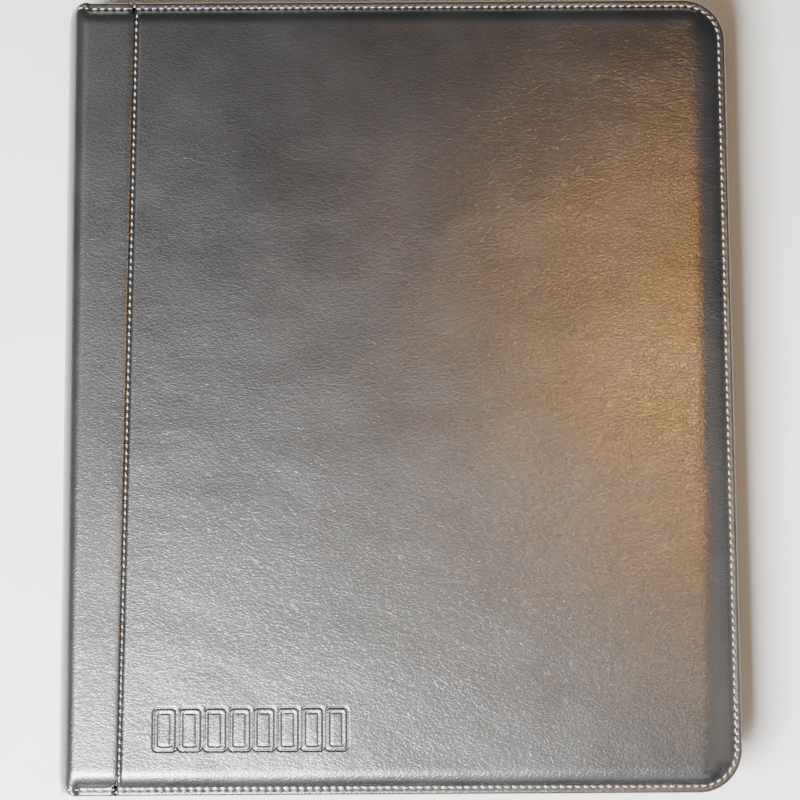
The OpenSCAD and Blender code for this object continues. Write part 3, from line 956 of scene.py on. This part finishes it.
backing_material, tree, shader = new_material("black_polypropylene", (0.014, 0.014, 0.015), 0.42)
sand = add(tree, "ShaderNodeTexNoise", {"Scale": 2600.0, "Detail": 2.0})
haze = add(tree, "ShaderNodeTexNoise", {"Scale": 30.0, "Detail": 4.0})
vector = place(tree)
tree.links.new(vector, sand.inputs["Vector"])
tree.links.new(vector, haze.inputs["Vector"])
bump(tree, shader, sand.outputs["Fac"], 0.03 * MM)
tint(tree, shader, haze.outputs["Fac"], [(0.35, (0.01, 0.01, 0.011)), (0.7, (0.022, 0.022, 0.024))])

film_material, tree, shader = new_material("clear_pocket_film", (0.3, 0.31, 0.32), 0.1)
shader.inputs["Alpha"].default_value = 0.16
crinkles_and_sheen = add(tree, "ShaderNodeTexNoise", {"Scale": 46.0, "Detail": 2.0, "Distortion": 0.8})
tree.links.new(place(tree), crinkles_and_sheen.inputs["Vector"])
bump(tree, shader, crinkles_and_sheen.outputs["Fac"], 1.2 * MM)
# Painted sheen: the film's colour is lighter on the crests of its crinkles and darker between them.
tint(tree, shader, crinkles_and_sheen.outputs["Fac"], [(0.3, (0.24, 0.25, 0.26)), (0.7, (0.36, 0.37, 0.38))])

weld_material, tree, shader = new_material("welded_film_seam", (0.1, 0.1, 0.11), 0.35)
weld_ribs_and_shade = add(tree, "ShaderNodeTexWave", {"Scale": 260.0}, bands_direction="DIAGONAL")
tree.links.new(place(tree), weld_ribs_and_shade.inputs["Vector"])
bump(tree, shader, weld_ribs_and_shade.outputs["Fac"], 0.06 * MM)
# Partly painted light: the weld's own grey is painted lighter on the crests of its ribs and darker in the
# grooves, as highlight and shade.
tint(tree, shader, weld_ribs_and_shade.outputs["Fac"], [(0.2, (0.05, 0.05, 0.055)), (0.8, (0.2, 0.2, 0.22))])


def pocket_films(low, high, sheet_low, sheet_high):
    """Both faces of films for one leaf, in the place of the first leaf."""
    points, faces, slots = [], [], []
    gap, weld = 1.5 * MM, 0.9 * MM
    wide = (high.x - low.x - 2 * gap) / 3
    tall = (high.y - low.y - 2 * gap) / 3
    cells = 10
    lines = cells + 4

    def film_lines(length):
        free = np.linspace(weld + 0.5 * MM, length - weld - 0.5 * MM, cells)
        return np.concatenate([[0, weld], free, [length - weld, length]])

    for face, base, top in ((1, sheet_high.z, high.z), (-1, sheet_low.z, low.z)):
        for column in range(3):
            for row in range(3):
                x0, y0 = low.x + column * (wide + gap), low.y + row * (tall + gap)
                a, b = np.meshgrid(film_lines(wide), film_lines(tall), indexing="ij")
                belly = np.clip(np.minimum(wide - a, np.minimum(b, tall - b)) / (7 * MM), 0, 1)
                wavy = 0.75 + 0.25 * rumple(a + x0, b + y0, 22 * MM, 5)
                lift = 0.2 + 0.7 * np.sqrt(belly) * wavy
                z = base + (top - base) * lift
                first = len(points)
                points += np.stack([a + x0, b + y0, z], -1).reshape(-1, 3).tolist()
                faces += grid_faces(lines, lines, start=first, flip=face < 0)
                # The weld runs along three sides, and leaves the side by the rings open
                for i in range(lines - 1):
                    slots += [1 if i == lines - 2 or j in (0, lines - 2) else 0 for j in range(lines - 1)]
    return points, faces, slots


first_low, first_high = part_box("leaf_1_pockets")
sheet_low, sheet_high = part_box("leaf_1_sheet")
points, faces, slots = pocket_films(first_low, first_high, sheet_low, sheet_high)
film_mesh = None
leaf = 1
while f"leaf_{leaf}_sheet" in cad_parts:
    paint(f"leaf_{leaf}_sheet", backing_material)
    low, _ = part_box(f"leaf_{leaf}_pockets")
    if film_mesh is None:
        films = make_mesh("leaf_1_films", np.array(points), faces, [film_material, weld_material])
        films.data.polygons.foreach_set("material_index", slots)
        film_mesh = films.data
    else:
        films = bpy.data.objects.new(f"leaf_{leaf}_films", film_mesh)
        bpy.context.collection.objects.link(films)
    films.location = low - first_low
    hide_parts(f"leaf_{leaf}_pockets")
    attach(films, f"leaf_{leaf}")
    leaf += 1


# ---- Studio -----------------------------------------------------------------------------------
# A plain pale floor lit by six soft lamps: a strong cool window beyond the lower left corner, a
# small orange lamp above the right side, a dim panel overhead and three fills round the sides. The
# camera hangs almost straight above and looks down from a little below the middle of the album.

floor_material, tree, shader = new_material("pale_floor", (0.78, 0.76, 0.73), 0.8)
mottle = add(tree, "ShaderNodeTexNoise", {"Scale": 9.0, "Detail": 5.0})
tree.links.new(place(tree), mottle.inputs["Vector"])
tint(tree, shader, mottle.outputs["Fac"], [(0.3, (0.5, 0.49, 0.47)), (0.7, (0.56, 0.55, 0.53))])
reach = 3.0
corners = np.array([(-reach, -reach, 0), (reach, -reach, 0), (reach, reach, 0), (-reach, reach, 0)])
floor = make_mesh("studio_floor", corners, [(0, 1, 2, 3)], [floor_material])
floor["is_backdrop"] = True


def softbox(name, at, aim, size, watts, color):
    data = bpy.data.lights.new(name, "AREA")
    data.shape = "RECTANGLE"
    data.size, data.size_y = size
    data.energy = watts
    data.color = color
    lamp = bpy.data.objects.new(name, data)
    bpy.context.collection.objects.link(lamp)
    lamp.location = at
    lamp.rotation_euler = (Vector(aim) - Vector(at)).to_track_quat("-Z", "Y").to_euler()
    return lamp


softbox("window", (-0.46, -0.545, 1.0), (-0.46, -0.535, 0), (0.64, 0.5), 126.0, (0.97, 0.985, 1.0))
softbox("ceiling_panel", (-0.12, -0.1, 1.06), (-0.12, -0.09, 0), (0.7, 0.46), 1.4, (1.0, 0.96, 0.9))
softbox("warm_lamp", (0.26, 0.134, 0.97), (0.26, 0.139, 0), (0.14, 0.08), 2.2, (1.0, 0.46, 0.05))
softbox("left_fill", (-0.5, 0.36, 1.0), (-0.5, 0.37, 0), (0.4, 0.6), 0.8, (1.0, 1.0, 1.0))
softbox("right_fill", (0.85, -0.2, 0.8), (0.1, 0, 0), (0.7, 0.9), 3.0, (1.0, 0.93, 0.84))
softbox("front_fill", (0.15, -1.0, 0.7), (0, -0.15, 0), (1.3, 0.4), 3.0, (0.97, 0.98, 1.0))

world = bpy.data.worlds.new("dim_grey_room")
world.use_nodes = True
world.node_tree.nodes["Background"].inputs["Color"].default_value = (0.62, 0.64, 0.66, 1)
world.node_tree.nodes["Background"].inputs["Strength"].default_value = 0.05
bpy.context.scene.world = world

camera_data = bpy.data.cameras.new("overhead_camera")
camera_data.sensor_width = 36
camera_data.lens = 106
camera_data.clip_start = 0.05
camera = bpy.data.objects.new("overhead_camera", camera_data)
bpy.context.collection.objects.link(camera)
camera.location = (0.0004, -0.1318, 0.9583)
camera.rotation_euler = Euler((math.radians(7.83), 0, math.radians(-0.32)))
bpy.context.scene.camera = camera

low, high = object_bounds()
